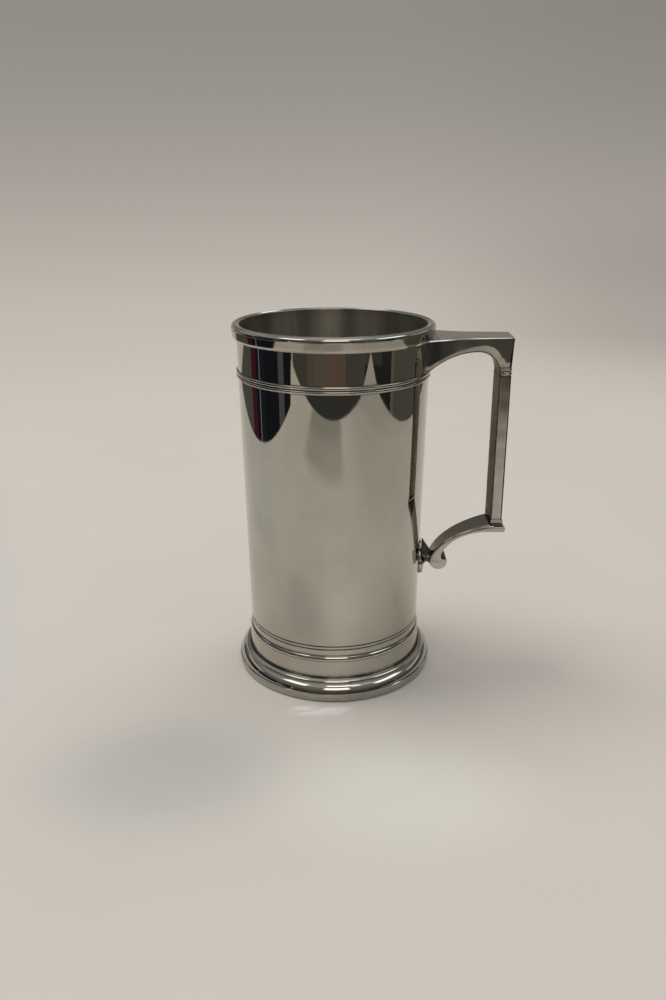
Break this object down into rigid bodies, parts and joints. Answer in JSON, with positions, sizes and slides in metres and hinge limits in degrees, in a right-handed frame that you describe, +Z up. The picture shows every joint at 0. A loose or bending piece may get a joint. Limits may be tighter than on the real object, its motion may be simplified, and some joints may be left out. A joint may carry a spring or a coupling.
{
  "type": "pewter mug",
  "caption": "Tall polished pewter beer mug with a slightly tapered drum, rolled mouth, applied reed, stepped foot and an angular strap handle ending in a scroll.",
  "frame": {"origin": "on the drum's axis at the level of the table that the mug stands on", "axes": "+Z up along the drum's axis, +X towards the handle, +Y completes the right-handed frame"},
  "size_m": [0.1123, 0.0828, 0.1458],
  "materials": {
    "pewter_polished": "polished pewter, mirror-like with fine turning marks",
    "pewter_satin": "satin pewter of the mug's inside",
    "pewter_cast": "hand-buffed cast pewter"
  },
  "bodies": {
    "root": {"body_shell": "pewter_polished", "lip_band": "pewter_polished", "reeded_band": "pewter_polished", "floor_disc": "pewter_satin", "foot_collar": "pewter_polished", "foot_moulding": "pewter_polished", "foot_rim": "pewter_polished", "handle_bracket": "pewter_cast", "handle_grip": "pewter_cast", "handle_scroll_arm": "pewter_cast", "scroll_neck": "pewter_cast", "lower_escutcheon": "pewter_cast"}
  },
  "joints": []
}
